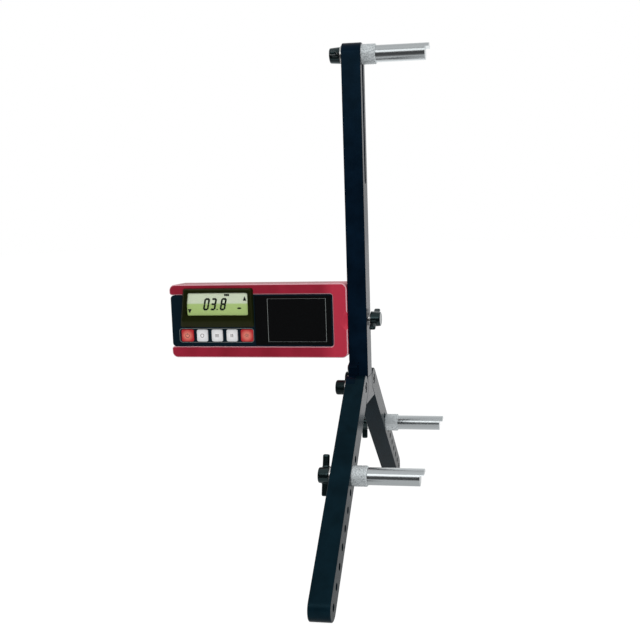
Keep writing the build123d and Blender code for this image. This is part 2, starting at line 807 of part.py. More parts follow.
bay_near = clip_near - clip_thickness
bay_far = battery_far + clip_thickness
door_near = bay_near - clip_thickness
door_far = door_near + door_length
bay_half = battery_height / 2 + part_gap
with BuildPart() as back_cover:
    with BuildSketch(front_plane(case_depth)):
        centre, width, height = level_box(case_near, case_far, case_low, case_high)
        with Locations(centre):
            RectangleRounded(width, height, case_corner)
    extrude(amount=-cover_thickness)
    with BuildSketch(front_plane(case_depth + cover_thickness - door_recess)):
        centre, width, height = level_box(
            door_near - part_gap, case_far + cut_over,
            -door_height / 2 - part_gap, door_height / 2 + part_gap)
        with Locations(centre):
            Rectangle(width, height)
    extrude(amount=-door_recess - cut_over, mode=Mode.SUBTRACT)
    with BuildSketch(front_plane(case_depth + cover_thickness - door_recess)):
        centre, width, height = level_box(
            door_near - part_gap, case_far + cut_over,
            -door_height / 2 - door_tongue - part_gap, door_height / 2 + door_tongue + part_gap)
        with Locations(centre):
            Rectangle(width, height)
    extrude(amount=-door_recess / 2, mode=Mode.SUBTRACT)
    with BuildSketch(front_plane(case_depth - cut_over)):
        centre, width, height = level_box(bay_near, bay_far, -bay_half, bay_half)
        with Locations(centre):
            Rectangle(width, height)
    extrude(amount=-cover_thickness - 2 * cut_over, mode=Mode.SUBTRACT)
    with BuildSketch(front_plane(case_depth - cut_over)):
        with Locations(*boss_places):
            Circle(pilot_radius + running_gap)
    extrude(amount=-cover_thickness - 2 * cut_over, mode=Mode.SUBTRACT)
    with BuildSketch(front_plane(case_depth + cover_thickness / 2)):
        with Locations(*boss_places):
            Circle(boss_radius)
    extrude(amount=-cover_thickness, mode=Mode.SUBTRACT)
save(back_cover, "back_cover")

door_face = case_depth + cover_thickness - door_recess + lap_gap
with BuildPart() as battery_door:
    with BuildSketch(front_plane(door_face)):
        centre, width, height = level_box(door_near, door_far, -door_height / 2, door_height / 2)
        with Locations(centre):
            Rectangle(width, height)
    extrude(amount=lap_gap - door_recess)
    with BuildSketch(front_plane(door_face)):
        centre, width, height = level_box(
            door_near, door_far, -door_height / 2 - door_tongue, door_height / 2 + door_tongue)
        with Locations(centre):
            Rectangle(width, height)
    extrude(amount=2 * lap_gap - door_recess / 2)
    with BuildSketch(front_plane(door_face + door_recess - lap_gap)):
        for k in range(grip_ribs):
            rib_x = x_back - door_near - (2 * k + 2) * 2 * grip_rib_width
            with Locations((rib_x, level_z)):
                Rectangle(grip_rib_width, door_height / 2)
    extrude(amount=-grip_rib_height)
save(battery_door, "battery_door")

with BuildPart() as case_screws:
    head_depth = cover_thickness / 2 - part_gap
    for place in boss_places:
        with BuildSketch(front_plane(case_depth + cover_thickness / 2)):
            with Locations(place):
                Circle(boss_radius - part_gap)
        extrude(amount=-head_depth)
        with BuildSketch(front_plane(case_depth + cover_thickness / 2)):
            with Locations(place):
                Circle(pilot_radius - thread_gap)
        extrude(amount=cover_thickness + screw_head_depth)
        with BuildSketch(front_plane(case_depth + cover_thickness / 2 + head_depth)):
            with Locations(place):
                Rectangle(2 * pilot_radius, pilot_radius / 3)
                Rectangle(pilot_radius / 3, 2 * pilot_radius)
        extrude(amount=head_depth / 2, mode=Mode.SUBTRACT)
save(case_screws, "case_screws")

door_travel = case_far - door_far
print("pieces written:", len(os.listdir("parts")))
print("pivots at", round(pivot_y, 2), round(pivot_z, 2), "lower posts at", leg_place(1, lower_post_along))
print("battery door can slide", round(door_travel, 2), "slot travel", round(slot_top_spare - slot_bottom, 2))
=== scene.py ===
# %% [markdown]
# # A digital camber gauge, dressed from its CAD frame
# The CAD model holds every bar, post, knob and casing at its real size. This file gives them their looks:
# anodised, turned and moulded finishes, softer knobs, and the marks on the display and the buttons.

# %% Load the frame
from math import atan2, cos, degrees, radians, sin

import bmesh
import bpy
from mathutils import Matrix, Vector


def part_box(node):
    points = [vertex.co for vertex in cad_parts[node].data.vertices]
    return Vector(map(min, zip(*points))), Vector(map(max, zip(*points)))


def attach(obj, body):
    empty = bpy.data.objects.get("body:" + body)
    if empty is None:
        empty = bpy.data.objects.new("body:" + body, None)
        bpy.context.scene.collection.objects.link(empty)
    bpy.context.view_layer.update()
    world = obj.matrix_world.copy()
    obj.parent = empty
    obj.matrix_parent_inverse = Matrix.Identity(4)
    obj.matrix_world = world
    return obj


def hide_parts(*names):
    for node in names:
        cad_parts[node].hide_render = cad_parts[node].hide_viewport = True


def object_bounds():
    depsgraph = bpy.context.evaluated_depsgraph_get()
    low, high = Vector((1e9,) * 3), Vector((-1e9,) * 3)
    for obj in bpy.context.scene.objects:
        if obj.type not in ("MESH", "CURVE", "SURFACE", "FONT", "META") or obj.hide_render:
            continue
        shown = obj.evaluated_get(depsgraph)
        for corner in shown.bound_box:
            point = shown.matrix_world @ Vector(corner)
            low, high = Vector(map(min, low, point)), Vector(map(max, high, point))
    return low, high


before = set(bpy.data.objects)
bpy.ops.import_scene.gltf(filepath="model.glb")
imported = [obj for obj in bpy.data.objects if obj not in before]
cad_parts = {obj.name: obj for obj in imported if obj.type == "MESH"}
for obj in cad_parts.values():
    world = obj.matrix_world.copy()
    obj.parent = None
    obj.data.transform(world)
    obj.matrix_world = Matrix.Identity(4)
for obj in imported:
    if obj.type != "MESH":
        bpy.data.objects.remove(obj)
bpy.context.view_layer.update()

MM = 0.001

# %% [markdown]
# ## The camera
# The camera stood in front of the level's display, to the right of it and above, and the picture was
# cropped off centre. The camera's place and turn come from the edges of the bars and the level. A small
# shift of the sensor puts the off-centre crop back, so that parallel edges run together where they do in
# the picture.

# %% Camera
CAMERA_PLACE = Vector((80.06, -786.07, -165.57)) * MM
CAMERA_YAW = 0.1416
CAMERA_PITCH = 0.1244
CAMERA_ROLL = -0.0199
FOCAL_PX = 794.29
CENTRE_PX = (397.83, 324.90)
IMAGE_PX = 640
SENSOR_MM = 36.0


def camera_turn(yaw, pitch, roll):
    """Rotation of a camera that looks along +Y, turned left by yaw and tipped down by pitch."""
    forward = Vector((-sin(yaw) * cos(pitch), cos(yaw) * cos(pitch), -sin(pitch)))
    right = Vector((cos(yaw), sin(yaw), 0))
    up = right.cross(forward)
    right_rolled = cos(roll) * right + sin(roll) * up
    up_rolled = cos(roll) * up - sin(roll) * right
    return Matrix((right_rolled, up_rolled, -forward)).transposed()


camera_data = bpy.data.cameras.new("photo_camera")
camera_data.sensor_width = SENSOR_MM
camera_data.lens = FOCAL_PX * SENSOR_MM / IMAGE_PX
camera_data.shift_x = (IMAGE_PX / 2 - CENTRE_PX[0]) / IMAGE_PX
camera_data.shift_y = (CENTRE_PX[1] - IMAGE_PX / 2) / IMAGE_PX
camera = bpy.data.objects.new("photo_camera", camera_data)
bpy.context.scene.collection.objects.link(camera)
turned = camera_turn(CAMERA_YAW, CAMERA_PITCH, CAMERA_ROLL)
camera.matrix_world = Matrix.Translation(CAMERA_PLACE) @ turned.to_4x4()
bpy.context.scene.camera = camera
bpy.context.scene.view_settings.view_transform = "Standard"
shifts = [round(shift, 4) for shift in (camera_data.shift_x, camera_data.shift_y)]
print("lens", round(camera_data.lens, 2), "shift", shifts)

# %% [markdown]
# ## Materials, and a few helpers for their nodes
# Every finish is a small node tree on the Principled shader. A texture that should not slide when the piece
# moves reads Object coordinates. Because each piece keeps its place in its mesh, those are the same metres
# for all pieces, so a grain of half a millimetre is the same half millimetre everywhere.

# %% Helpers for materials


def start_material(name, colour, roughness, metallic=0.0):
    """A material with its Principled shader, and the tools to add nodes to it."""
    material = bpy.data.materials.new(name)
    material.use_nodes = True
    material.diffuse_color = (*colour, 1)
    shader = material.node_tree.nodes["Principled BSDF"]
    shader.inputs["Base Color"].default_value = (*colour, 1)
    shader.inputs["Roughness"].default_value = roughness
    shader.inputs["Metallic"].default_value = metallic
    return material, shader


def add_node(material, kind, **values):
    """A new node of that kind, with its inputs set by name."""
    node = material.node_tree.nodes.new(kind)
    for name, value in values.items():
        node.inputs[name.replace("_", " ")].default_value = value
    return node


def object_place(material, scale=(1, 1, 1), rotation=(0, 0, 0)):
    """Object coordinates, turned and then stretched."""
    coordinates = add_node(material, "ShaderNodeTexCoord")
    turn = add_node(material, "ShaderNodeMapping", Rotation=rotation)
    stretch = add_node(material, "ShaderNodeMapping", Scale=scale)
    link(material, coordinates.outputs["Object"], turn.inputs["Vector"])
    link(material, turn.outputs["Vector"], stretch.inputs["Vector"])
    return stretch.outputs["Vector"]


def link(material, source, target):
    """Join an output to an input."""
    material.node_tree.links.new(source, target)


def of_kind(sockets, kind):
    """The sockets of one kind, such as RGBA or VALUE."""
    return [socket for socket in sockets if socket.type == kind]


def axis_of(material, place, axis):
    """One of the three numbers of a place or a direction."""
    node = add_node(material, "ShaderNodeSeparateXYZ")
    link(material, place, node.inputs["Vector"])
    return node.outputs[axis]


def reckon(material, operation, *numbers):
    """The result of one operation on one or two numbers."""
    node = add_node(material, "ShaderNodeMath")
    node.operation = operation
    for number, socket in zip(numbers, node.inputs):
        link(material, number, socket)
    return node.outputs["Value"]


def noise(material, place, scale, detail=3.0, roughness=0.5):
    """Factor of a noise texture at a place."""
    node = add_node(material, "ShaderNodeTexNoise", Scale=scale, Detail=detail, Roughness=roughness)
    link(material, place, node.inputs["Vector"])
    return node.outputs["Factor"] if "Factor" in node.outputs else node.outputs["Fac"]


def spread(material, factor, low, high, start=0.3, end=0.7):
    """A number from low to high as the factor goes from start to end."""
    node = add_node(material, "ShaderNodeMapRange", From_Min=start, From_Max=end, To_Min=low, To_Max=high)
    link(material, factor, node.inputs["Value"])
    return node.outputs["Result"]


def choose(material, factor, first, second):
    """A number that goes from first to second as the factor goes from 0 to 1."""
    node = add_node(material, "ShaderNodeMix")
    inputs = [socket for socket in of_kind(node.inputs, "VALUE") if socket.name in "AB"]
    for socket, value in zip(inputs, (first, second)):
        if isinstance(value, float):
            socket.default_value = value
        else:
            link(material, value, socket)
    link(material, factor, node.inputs["Factor"])
    return of_kind(node.outputs, "VALUE")[0]


def blend_colours(material, factor, first, second):
    """A colour between two, by the factor."""
    node = add_node(material, "ShaderNodeMix")
    node.data_type = "RGBA"
    first_socket, second_socket = of_kind(node.inputs, "RGBA")
    first_socket.default_value = (*first, 1)
    second_socket.default_value = (*second, 1)
    link(material, factor, node.inputs["Factor"])
    return of_kind(node.outputs, "RGBA")[0]


def feed_first_colour(material, source, blended):
    """Let a colour output drive the first colour of an earlier blend."""
    link(material, source, of_kind(blended.node.inputs, "RGBA")[0])


def bump(material, shader, height, strength, distance):
    """Small relief on the shader's normal, as deep as distance in metres."""
    node = add_node(material, "ShaderNodeBump", Strength=strength, Distance=distance)
    link(material, height, node.inputs["Height"])
    link(material, node.outputs["Normal"], shader.inputs["Normal"])
    return node


def use(material, *names):
    """Give CAD nodes a material."""
    for name in names:
        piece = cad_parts[name]
        piece.data.materials.clear()
        piece.data.materials.append(material)


print("helpers ready")

# %% [markdown]
# ## Black anodised bars
# The bar, the hub and the legs are sawn aluminium stock, brushed along their length and dyed black. Face on
# they are a deep blue black, but a face seen edge on mirrors the white room and turns light grey. A plastic
# coat does the same through Fresnel gloss, so the finish is a dark coat without metal, whose gloss is weak
# and blue face on and turns strong and grey edge on. The brushed grain is noise stretched along each bar.

# %% Black anodised finish
BAR_DYE = (0.0009, 0.0036, 0.0085)
LEG_DYE = (0.0014, 0.0058, 0.0092)
SHEEN_TINT = (0.35, 0.8, 1.0)
GRAIN_PER_METRE = 2600
GRAIN_STRETCH = 0.02
CLOUDS_PER_METRE = 60
WORN_SHARE = 1.9
BRUSHED_ROUGHNESS = (0.18, 0.28)
COAT_GLOSS = 0.08
FAR_LEG_GLOSS = 0.05


def black_anodised(name, dye, lean, gloss):
    """Brushed black coat, with its grain along Z leaned by an angle about X."""
    material, shader = start_material(name, dye, 0.3)
    along = object_place(material, scale=(1, 1, GRAIN_STRETCH), rotation=(lean, 0, 0))
    brushed = noise(material, along, GRAIN_PER_METRE, detail=2.0)
    cloudy = noise(material, object_place(material), CLOUDS_PER_METRE, detail=4.0)
    worn = tuple(WORN_SHARE * channel for channel in dye)
    colour = blend_colours(material, spread(material, cloudy, 0, 1), dye, worn)
    link(material, colour, shader.inputs["Base Color"])
    link(material, spread(material, brushed, *BRUSHED_ROUGHNESS), shader.inputs["Roughness"])
    shader.inputs["Specular IOR Level"].default_value = gloss
    shader.inputs["Specular Tint"].default_value = (*SHEEN_TINT, 1)
    bump(material, shader, brushed, 0.15, 0.02 * MM)
    return material


leg_lean = radians(49.1)
use(black_anodised("black_anodised_bar", BAR_DYE, 0.0, COAT_GLOSS), "upper_bar", "hub_plate")
use(black_anodised("black_anodised_right_leg", LEG_DYE, -leg_lean, COAT_GLOSS), "right_leg")
use(black_anodised("black_anodised_left_leg", LEG_DYE, leg_lean, FAR_LEG_GLOSS), "left_leg")
print("bars dressed, legs lean", round(leg_lean, 3))

# %% [markdown]
# ## Turned posts
# The posts are plain aluminium from a lathe. A fine feed leaves the shank bright, with rings too small to
# see but enough to draw each highlight out. The wide collar is grainy, as cut from the raw bar, so it
# scatters light and looks paler and duller. One material serves both: it changes over at the collar's end,
# where the surface goes from half matt and pitted to full metal.

# %% Turned aluminium finish
TURNED = (0.60, 0.64, 0.655)
COLLAR = (0.74, 0.79, 0.805)
COLLAR_PIT = (0.33, 0.365, 0.38)
RINGS_PER_METRE = 9000
SPECKS_PER_METRE = 900
COLLAR_LENGTH = 14 * MM
CHANGE_OVER = 0.2 * MM
COLLAR_AND_SHANK_ROUGHNESS = (0.5, 0.2)
COLLAR_AND_SHANK_METAL = (0.5, 1.0)
COLLAR_AND_SHANK_RELIEF = (0.8, 0.08)
RELIEF_DEPTH = 0.06 * MM


def turned_aluminium():
    """Satin turned metal with rings across X, and a grainy collar next to the bar."""
    material, shader = start_material("turned_aluminium", TURNED, 0.2, metallic=1.0)
    place = object_place(material)
    rings = noise(material, object_place(material, scale=(1, 0.01, 0.01)), RINGS_PER_METRE, detail=1.0)
    specks = noise(material, place, SPECKS_PER_METRE, detail=2.0, roughness=0.7)
    collar_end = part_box("top_post")[0].x + COLLAR_LENGTH
    along = axis_of(material, place, "X")
    on_shank = spread(material, along, 0, 1, start=collar_end - CHANGE_OVER, end=collar_end)
    pitted = spread(material, specks, 0, 1, start=0.35, end=0.6)
    grainy = blend_colours(material, pitted, COLLAR_PIT, COLLAR)
    colour = blend_colours(material, on_shank, COLLAR, TURNED)
    feed_first_colour(material, grainy, colour)
    link(material, colour, shader.inputs["Base Color"])
    relief = bump(material, shader, choose(material, on_shank, specks, rings), 1.0, RELIEF_DEPTH)
    link(material, choose(material, on_shank, *COLLAR_AND_SHANK_ROUGHNESS), shader.inputs["Roughness"])
    link(material, choose(material, on_shank, *COLLAR_AND_SHANK_METAL), shader.inputs["Metallic"])
    link(material, choose(material, on_shank, *COLLAR_AND_SHANK_RELIEF), relief.inputs["Strength"])
    return material


use(turned_aluminium(), "top_post", "right_post", "left_post")
print("posts dressed")

# %% [markdown]
# ## Plated steel and black oxide
# The studs, washers and hub screws are zinc plated and bright. The pivot bolts and the case screws are
# blackened. The bushes in the knobs are turned steel. Each gets a little uneven roughness, as plating and
# handling give.

# %% Hardware finishes
HANDLING_PER_METRE = 900


def plain_metal(name, colour, roughness, relief):
    """Metal with slightly uneven gloss and a faint relief."""
    material, shader = start_material(name, colour, roughness, metallic=1.0)
    uneven = noise(material, object_place(material), HANDLING_PER_METRE, detail=4.0)
    smoother, rougher = 0.8 * roughness, 1.25 * roughness
    link(material, spread(material, uneven, smoother, rougher), shader.inputs["Roughness"])
    bump(material, shader, uneven, relief, 0.04 * MM)
    return material


zinc = plain_metal("zinc_plated_steel", (0.72, 0.73, 0.72), 0.22, 0.15)
black_oxide = plain_metal("black_oxide_steel", (0.055, 0.056, 0.06), 0.38, 0.3)
bush_steel = plain_metal("turned_steel", (0.60, 0.61, 0.61), 0.28, 0.2)
use(zinc, "hub_screws", "level_stud", "level_washer", "right_hub_washer", "left_hub_washer")
for end in ("top", "right", "left"):
    use(zinc, f"{end}_stud", f"{end}_washer")
    use(bush_steel, f"{end}_insert")
use(bush_steel, "level_insert", "right_hub_insert", "left_hub_insert")
use(black_oxide, "right_pivot_bolt", "left_pivot_bolt", "case_screws")
print("hardware dressed")

# %% [markdown]
# ## Red frame of the level
# The level's body is an extruded aluminium frame with a deep red dye over a fine blasted surface. The dye
# gives a soft sheen rather than a mirror. The wall at the bar's end has painted light: its red is paler, as
# if more light fell on it. Along the broken edges a painted highlight draws a pale line around each opening.
# Those edges are the faces that lean half way, which their normal tells.

# %% Red anodised finish
RED_DYE = (0.40, 0.018, 0.046)
RED_DYE_DEEP = (0.30, 0.012, 0.030)
RED_END_PAINTED_LIGHT = (0.56, 0.034, 0.070)
RED_EDGE_HIGHLIGHT = (0.74, 0.40, 0.45)
END_WALL = 14 * MM
DYE_CLOUDS_PER_METRE = 45
BLAST_PER_METRE = 4200
BLASTED_ROUGHNESS = (0.30, 0.42)
EDGE_FADES_IN = (0.62, 0.68)
EDGE_FADES_OUT = (0.74, 0.80)


def red_anodised():
    """Blasted and dyed aluminium, with painted light: paler at the bar's end and on its broken edges."""
    material, shader = start_material("red_anodised", RED_DYE, 0.36, metallic=0.35)
    place = object_place(material)
    cloudy = noise(material, place, DYE_CLOUDS_PER_METRE, detail=3.0)
    blasted = noise(material, place, BLAST_PER_METRE, detail=2.0)
    dyed = blend_colours(material, spread(material, cloudy, 0, 1), RED_DYE, RED_DYE_DEEP)
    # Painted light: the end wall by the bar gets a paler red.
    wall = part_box("level_frame")[1].x - END_WALL
    on_end = spread(material, axis_of(material, place, "X"), 0, 1, start=wall - END_WALL, end=wall)
    end_painted_light = blend_colours(material, on_end, RED_DYE, RED_END_PAINTED_LIGHT)
    feed_first_colour(material, dyed, end_painted_light)
    # Painted highlight: a pale line on the faces that lean half way, along the frame's edges.
    coordinates = add_node(material, "ShaderNodeTexCoord")
    lean = reckon(material, "ABSOLUTE", axis_of(material, coordinates.outputs["Normal"], "Y"))
    past_side = spread(material, lean, 0, 1, start=EDGE_FADES_IN[0], end=EDGE_FADES_IN[1])
    before_front = spread(material, lean, 1, 0, start=EDGE_FADES_OUT[0], end=EDGE_FADES_OUT[1])
    edge = reckon(material, "MULTIPLY", past_side, before_front)
    colour = blend_colours(material, edge, RED_DYE, RED_EDGE_HIGHLIGHT)
    feed_first_colour(material, end_painted_light, colour)
    link(material, colour, shader.inputs["Base Color"])
    link(material, spread(material, blasted, *BLASTED_ROUGHNESS), shader.inputs["Roughness"])
    bump(material, shader, blasted, 0.18, 0.05 * MM)
    return material


use(red_anodised(), "level_frame")
print("level frame dressed")

# %% [markdown]
# ## Black plastics of the level
# The case has a fine moulded grain that scatters light. The hood around the display is smoother, and the
# label panel is glossy like piano lacquer. One function makes all three, because only colour, gloss and
# grain differ. The gloss of the hood is tinted olive, because its black leans that way where it mirrors
# light.

# %% Moulded plastics
MOULD_GRAIN_PER_METRE = 3800
PLAIN_GLOSS = 0.5


def moulded(name, colour, roughness, grain_depth, grain_per_metre=MOULD_GRAIN_PER_METRE, gloss=PLAIN_GLOSS,
            gloss_tint=(1, 1, 1)):
    """Moulded plastic with a fine grain."""
    material, shader = start_material(name, colour, roughness)
    shader.inputs["Specular IOR Level"].default_value = gloss
    shader.inputs["Specular Tint"].default_value = (*gloss_tint, 1)
    grain = noise(material, object_place(material), grain_per_metre, detail=2.0)
    smoother, rougher = 0.85 * roughness, 1.2 * roughness
    link(material, spread(material, grain, smoother, rougher), shader.inputs["Roughness"])
    bump(material, shader, grain, 0.5, grain_depth)
    return material


case_plastic = moulded("case_plastic", (0.0018, 0.0085, 0.0150), 0.42, 0.06 * MM, gloss=0.1)
hood_plastic = moulded(
    "hood_plastic", (0.0070, 0.0095, 0.0020), 0.26, 0.02 * MM, gloss=0.2, gloss_tint=(1.0, 1.0, 0.45))
label_gloss = moulded("label_gloss", (0.0009, 0.0011, 0.0014), 0.1, 0.004 * MM, grain_per_metre=900)
use(case_plastic, "level_case", "back_cover", "battery_door")
use(label_gloss, "label_plate")
print("plastics dressed")

# %% [markdown]
# ## Display glass and liquid crystal panel
# The window is thin clear plastic: mostly straight through, with a gloss on top. The panel behind it is
# grey green, paler above, where it mirrors the bright ceiling through its polariser, and yellow green
# below. The two colours are simply set in the panel, so that they stay where they are from any side.

# %% Display finishes
PANEL_PALE = (0.67, 0.75, 0.56)
PANEL_GREEN = (0.43, 0.59, 0.20)
PALE_FROM_SHARE = 0.52
PALE_EDGE = 0.8 * MM
WINDOW_ALPHA = 0.06
WINDOW_ROUGHNESS = (0.02, 0.09)
HANDLED_PER_METRE = 160


def clear_window():
    """Clear plastic that lets most light straight through."""
    material, shader = start_material("clear_window", (0.10, 0.12, 0.10), 0.03)
    shader.inputs["Alpha"].default_value = WINDOW_ALPHA
    handled = noise(material, object_place(material), HANDLED_PER_METRE, detail=4.0)
    link(material, spread(material, handled, *WINDOW_ROUGHNESS), shader.inputs["Roughness"])
    return material


def display_panel():
    """Grey-green panel, paler in its upper half."""
    material, shader = start_material("display_panel", PANEL_GREEN, 0.3)
    low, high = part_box("lcd_panel")
    height = axis_of(material, object_place(material), "Z")
    change = low.z + PALE_FROM_SHARE * (high.z - low.z)
    pale = spread(material, height, 0, 1, start=change - PALE_EDGE, end=change + PALE_EDGE)
    link(material, blend_colours(material, pale, PANEL_GREEN, PANEL_PALE), shader.inputs["Base Color"])
    return material


use(clear_window(), "lcd_window")
use(display_panel(), "lcd_panel")
print("display dressed")

# %% [markdown]
# ## Rubber buttons
# Two red keys stand at the ends of a row of three white ones. They are soft matt silicone, and each cap is
# brighter in its middle. The brightness is a blend of two colours by the distance from the cap's axis, so it
# stays centred on each key.

# %% Button finishes
BRIGHT_RADIUS = 1.2 * MM
RIM_RADIUS = 6.4 * MM
SKIN_PER_METRE = 2500


def reckon_place(material, operation, place, other=(0, 0, 0)):
    """A node for one operation on a place."""
    node = add_node(material, "ShaderNodeVectorMath")
    node.operation = operation
    link(material, place, node.inputs[0])
    node.inputs[1].default_value = other
    return node


def rubber_key(name, centre_colour, rim_colour, node):
    """Silicone key, brighter towards the middle of its cap."""
    material, shader = start_material(name, centre_colour, 0.45)
    low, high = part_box(node)
    place = object_place(material)
    offset = reckon_place(material, "SUBTRACT", place, (low + high) / 2)
    flat = reckon_place(material, "MULTIPLY", offset.outputs["Vector"], (1, 0, 1))
    distance = reckon_place(material, "LENGTH", flat.outputs["Vector"]).outputs["Value"]
    rim = spread(material, distance, 0, 1, start=BRIGHT_RADIUS, end=RIM_RADIUS)
    link(material, blend_colours(material, rim, centre_colour, rim_colour), shader.inputs["Base Color"])
    skin = noise(material, place, SKIN_PER_METRE, detail=2.0)
    bump(material, shader, skin, 0.2, 0.04 * MM)
    return material


RED_KEY = ((0.74, 0.23, 0.17), (0.42, 0.012, 0.018))
WHITE_KEY = ((0.78, 0.78, 0.79), (0.58, 0.59, 0.60))
for name in ("power_button", "light_button"):
    use(rubber_key(f"{name}_rubber", *RED_KEY, name), name)
for name in ("zero_button", "mode_button", "hold_button"):
    use(rubber_key(f"{name}_rubber", *WHITE_KEY, name), name)
print("buttons dressed")

# %% [markdown]
# ## Parts inside the case
# Nobody sees the board, the sensor or the battery until the case is opened, but each still has its own
# finish: green solder mask, a tinned can, black moulded packages and a wrapped battery block. The functions
# made for the metals and the plastics serve again.

# %% Finishes inside
board_mask = moulded("board_mask", (0.012, 0.11, 0.03), 0.3, 0.01 * MM)
tin_can = plain_metal("tin_can", (0.66, 0.66, 0.64), 0.3, 0.2)
package_black = moulded("package_black", (0.012, 0.012, 0.013), 0.5, 0.03 * MM)
battery_wrap = moulded("battery_wrap", (0.035, 0.045, 0.075), 0.3, 0.01 * MM)
contact_rubber = moulded("contact_rubber", (0.03, 0.03, 0.032), 0.7, 0.03 * MM)
use(board_mask, "circuit_board")
use(tin_can, "tilt_sensor")
use(package_black, "button_switches", "beeper", "battery_clip")
use(battery_wrap, "battery")
use(contact_rubber, "lcd_strip")
print("inside parts dressed")

# %% [markdown]
# ## Tools for modelling
# The CAD gives plain knobs and a plain hood. The pieces below are modelled as by hand in edit mode: a
# primitive is brought to its size, then its faces are picked by where they lie, and inset, extruded,
# tapered or bevelled. What repeats is modelled once at the origin with its axis up, and copies of its mesh
# are put in place.

# %% Helpers for modelling


def start_editing():
    """Go into edit mode on the primitive just added, its place and turn in its mesh, all of it selected."""
    piece = bpy.context.object
    bpy.ops.object.transform_apply(location=True, rotation=True, scale=True)
    bpy.ops.object.mode_set(mode="EDIT")
    bpy.ops.mesh.select_all(action="SELECT")
    return piece


def start_cylinder(vertices, radius, depth, middle=0.0):
    """Cylinder along Z, centred at that height, in edit mode."""
    place = (0, 0, middle)
    bpy.ops.mesh.primitive_cylinder_add(vertices=vertices, radius=radius, depth=depth, location=place)
    return start_editing()


def start_disc(vertices, radius):
    """Flat round face in the XY plane, in edit mode."""
    bpy.ops.mesh.primitive_circle_add(vertices=vertices, radius=radius, fill_type="NGON")
    return start_editing()


def pick(piece, kind, test):
    """In edit mode, select only the vertices, edges or faces that pass a test."""
    bpy.ops.mesh.select_mode(type={"verts": "VERT", "edges": "EDGE", "faces": "FACE"}[kind])
    bpy.ops.mesh.select_all(action="DESELECT")
    shape = bmesh.from_edit_mesh(piece.data)
    parts = {"verts": shape.verts, "edges": shape.edges, "faces": shape.faces}[kind]
    chosen = [part for part in parts if test(part)]
    for part in chosen:
        part.select = True
    shape.select_flush_mode()
    bmesh.update_edit_mesh(piece.data)
    return len(chosen)


def done(piece, smooth_angle=35):
    """Leave edit mode with outward normals and smooth shading up to an angle."""
    bpy.ops.mesh.select_all(action="SELECT")
    bpy.ops.mesh.normals_make_consistent(inside=False)
    bpy.ops.object.mode_set(mode="OBJECT")
    bpy.ops.object.shade_smooth_by_angle(angle=radians(smooth_angle))
    return piece


def apply_modifier(piece, kind, **values):
    """Add a modifier, set it up and apply it."""
    bpy.ops.object.select_all(action="DESELECT")
    bpy.context.view_layer.objects.active = piece
    piece.select_set(True)
    modifier = piece.modifiers.new(kind.lower(), kind)
    for name, value in values.items():
        setattr(modifier, name, value)
    bpy.ops.object.modifier_apply(modifier=modifier.name)


def cut_or_join(piece, other, operation):
    """Boolean with another piece, which is then removed."""
    apply_modifier(piece, "BOOLEAN", operation=operation, object=other, solver="EXACT")
    bpy.data.objects.remove(other)


def copy_to(model, name, matrix, material, body):
    """A copy of a model with its own mesh, placed in the mesh, that rides on a body."""
    piece = bpy.data.objects.new(name, model.data.copy())
    bpy.context.scene.collection.objects.link(piece)
    piece.data.transform(matrix)
    piece.data.materials.clear()
    piece.data.materials.append(material)
    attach(piece, body)
    return piece


def axes_matrix(x_axis, z_axis, place):
    """Matrix that turns local X and Z to those directions and moves the origin to a place."""
    x_axis, z_axis = Vector(x_axis), Vector(z_axis)
    turn = Matrix((x_axis, z_axis.cross(x_axis), z_axis)).transposed()
    return Matrix.Translation(place) @ turn.to_4x4()


print("modelling tools ready")

# %% [markdown]
# ## Wing knobs
# Each post, and the level, is clamped by a black T-shaped knob. On the real gauge it is one glossy moulding
# over a steel bush: a round hub with a dished cap, and two wings that taper to rounded tips. The hub and
# the wings start apart. They are joined, remeshed finely and smoothed, which rounds the corner between them
# as a mould would, and the bore for the bush is cut last, so that it stays crisp.

# %% One wing knob
HUB_RADIUS = 7.9 * MM
HUB_DEPTH = 10.3 * MM
CAP_SHARE = 0.90
DISH_RIM = 1.8 * MM
DISH_DEPTH = 0.6 * MM
WING_LENGTH = 38.0 * MM
WING_THICK = 5.2 * MM
WING_DEEP = 7.6 * MM
TIP_THICK_SHARE = 0.72
TIP_DEEP_SHARE = 0.84
BORE_RADIUS = 4.65 * MM
BORE_DEPTH = 9.2 * MM
CAP_ROUND = 0.9 * MM
WING_ROUND = 1.5 * MM
VOXEL = 0.4 * MM
SMOOTH_PASSES = 10


